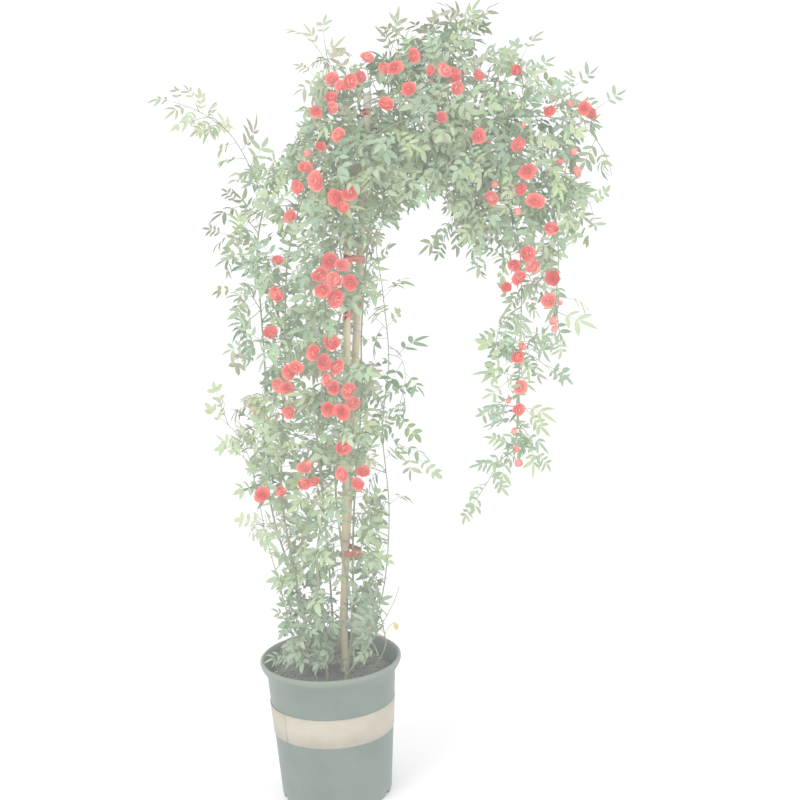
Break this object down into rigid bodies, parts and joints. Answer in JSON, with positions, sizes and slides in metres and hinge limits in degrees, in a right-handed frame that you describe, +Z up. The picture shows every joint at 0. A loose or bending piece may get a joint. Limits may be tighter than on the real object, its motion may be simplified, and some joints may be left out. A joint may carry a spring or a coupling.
{
  "type": "potted climbing rose",
  "caption": "Climbing rose on bamboo stakes in a round nursery pot, tied with tape, its canes arching over to one side with small double blooms.",
  "frame": {"origin": "middle of the pot's underside, where it stands", "axes": "+Z up along the pot's axis, front towards -Y, and the arch of the canes hangs over towards +X"},
  "size_m": [0.7611, 0.3894, 1.2588],
  "materials": {
    "pot_plastic": "matte",
    "label_print": "matte",
    "potting_mix": "matte",
    "bamboo": "satin",
    "tie_tape": "satin",
    "rose_leaf": "satin",
    "rose_petal": "matte"
  },
  "bodies": {
    "root": {"pot": "pot_plastic", "label_band": "label_print", "tall_stake": "bamboo", "short_stake": "bamboo", "potting_mix": "potting_mix", "low_tie": "tie_tape", "middle_tie": "tie_tape", "upper_tie": "tie_tape", "top_tie": "tie_tape", "left_cane": "rose_leaf", "front_cane": "rose_leaf", "tail_cane": "rose_leaf", "stake_cane": "rose_leaf", "back_left_cane": "rose_leaf", "back_cane": "rose_leaf", "right_cane": "rose_leaf", "young_left_cane": "rose_leaf", "young_right_cane": "rose_leaf", "low_left_shoot": "rose_leaf", "low_right_shoot": "rose_leaf", "blooms_crown_left": "rose_petal", "blooms_shoulder_left": "rose_petal", "blooms_crown_middle": "rose_petal", "blooms_below_crown": "rose_petal", "blooms_crown_right": "rose_petal", "blooms_arch_front": "rose_petal", "blooms_arch_middle": "rose_petal", "blooms_shoulder_front": "rose_petal", "blooms_shoulder_fall": "rose_petal", "blooms_column_top": "rose_petal", "blooms_column_top_left": "rose_petal", "blooms_arch_right_top": "rose_petal", "blooms_arch_right_end": "rose_petal", "blooms_arch_right_front": "rose_petal", "blooms_right_edge": "rose_petal", "blooms_fall_top": "rose_petal", "blooms_fall_left": "rose_petal", "blooms_fall_right": "rose_petal", "blooms_fall_middle": "rose_petal", "blooms_fall_right_low": "rose_petal", "blooms_tail_top": "rose_petal", "blooms_tail_middle": "rose_petal", "blooms_tail_low": "rose_petal", "blooms_left_upper": "rose_petal", "blooms_left_edge": "rose_petal", "blooms_column_heart": "rose_petal", "blooms_column_upper": "rose_petal", "blooms_column_left": "rose_petal", "blooms_column_middle": "rose_petal", "blooms_column_lower": "rose_petal", "blooms_column_left_low": "rose_petal", "blooms_column_low": "rose_petal", "blooms_low_left": "rose_petal", "blooms_low_right": "rose_petal", "blooms_low_edge": "rose_petal", "blooms_back_shoulder": "rose_petal", "blooms_back_arch": "rose_petal", "blooms_back_column": "rose_petal", "blooms_back_low": "rose_petal", "blooms_back_left": "rose_petal"}
  },
  "joints": []
}
